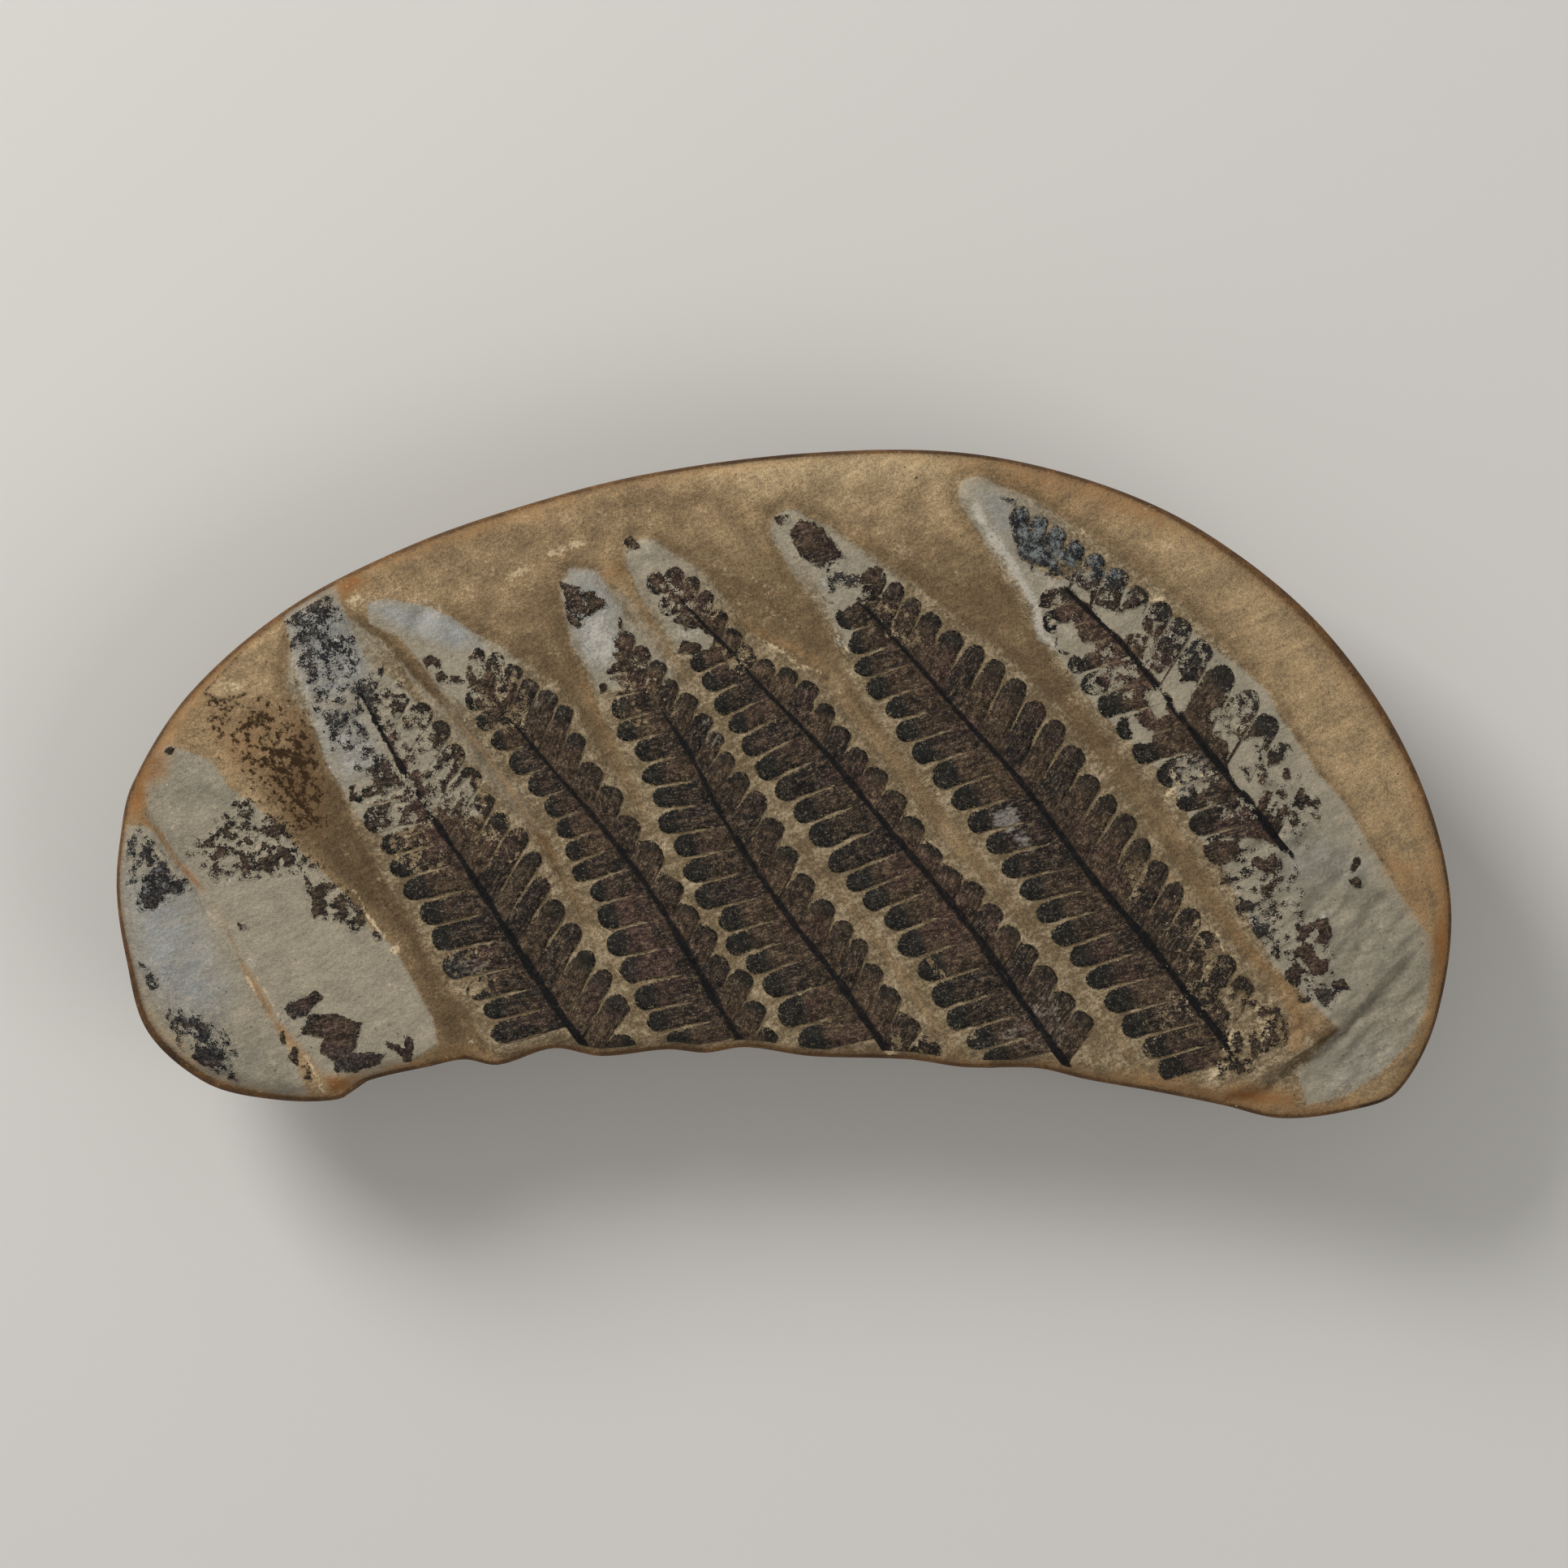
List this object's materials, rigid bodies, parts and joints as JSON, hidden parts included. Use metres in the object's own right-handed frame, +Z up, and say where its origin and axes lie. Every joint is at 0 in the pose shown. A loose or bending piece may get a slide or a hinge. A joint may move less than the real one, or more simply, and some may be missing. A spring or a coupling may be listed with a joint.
{
  "type": "fern fossil nodule",
  "caption": "Half of a split ironstone nodule, kidney-shaped and lying on its rounded back, with a fern frond pressed in low relief on its flat face.",
  "frame": {"origin": "below the middle of the stone, at the height of the surface it lies on", "axes": "+X along the length, from the bare end to the round end; +Y from the chipped lower edge to the round upper edge; +Z up, out of the split face"},
  "size_m": [0.1202, 0.0602, 0.0186],
  "materials": {
    "stone": "dry, fine-grained, matt",
    "fern_film": "thin carbon film on the stone, matt with a faint sheen"
  },
  "bodies": {
    "root": {"nodule": "stone"}
  },
  "joints": []
}
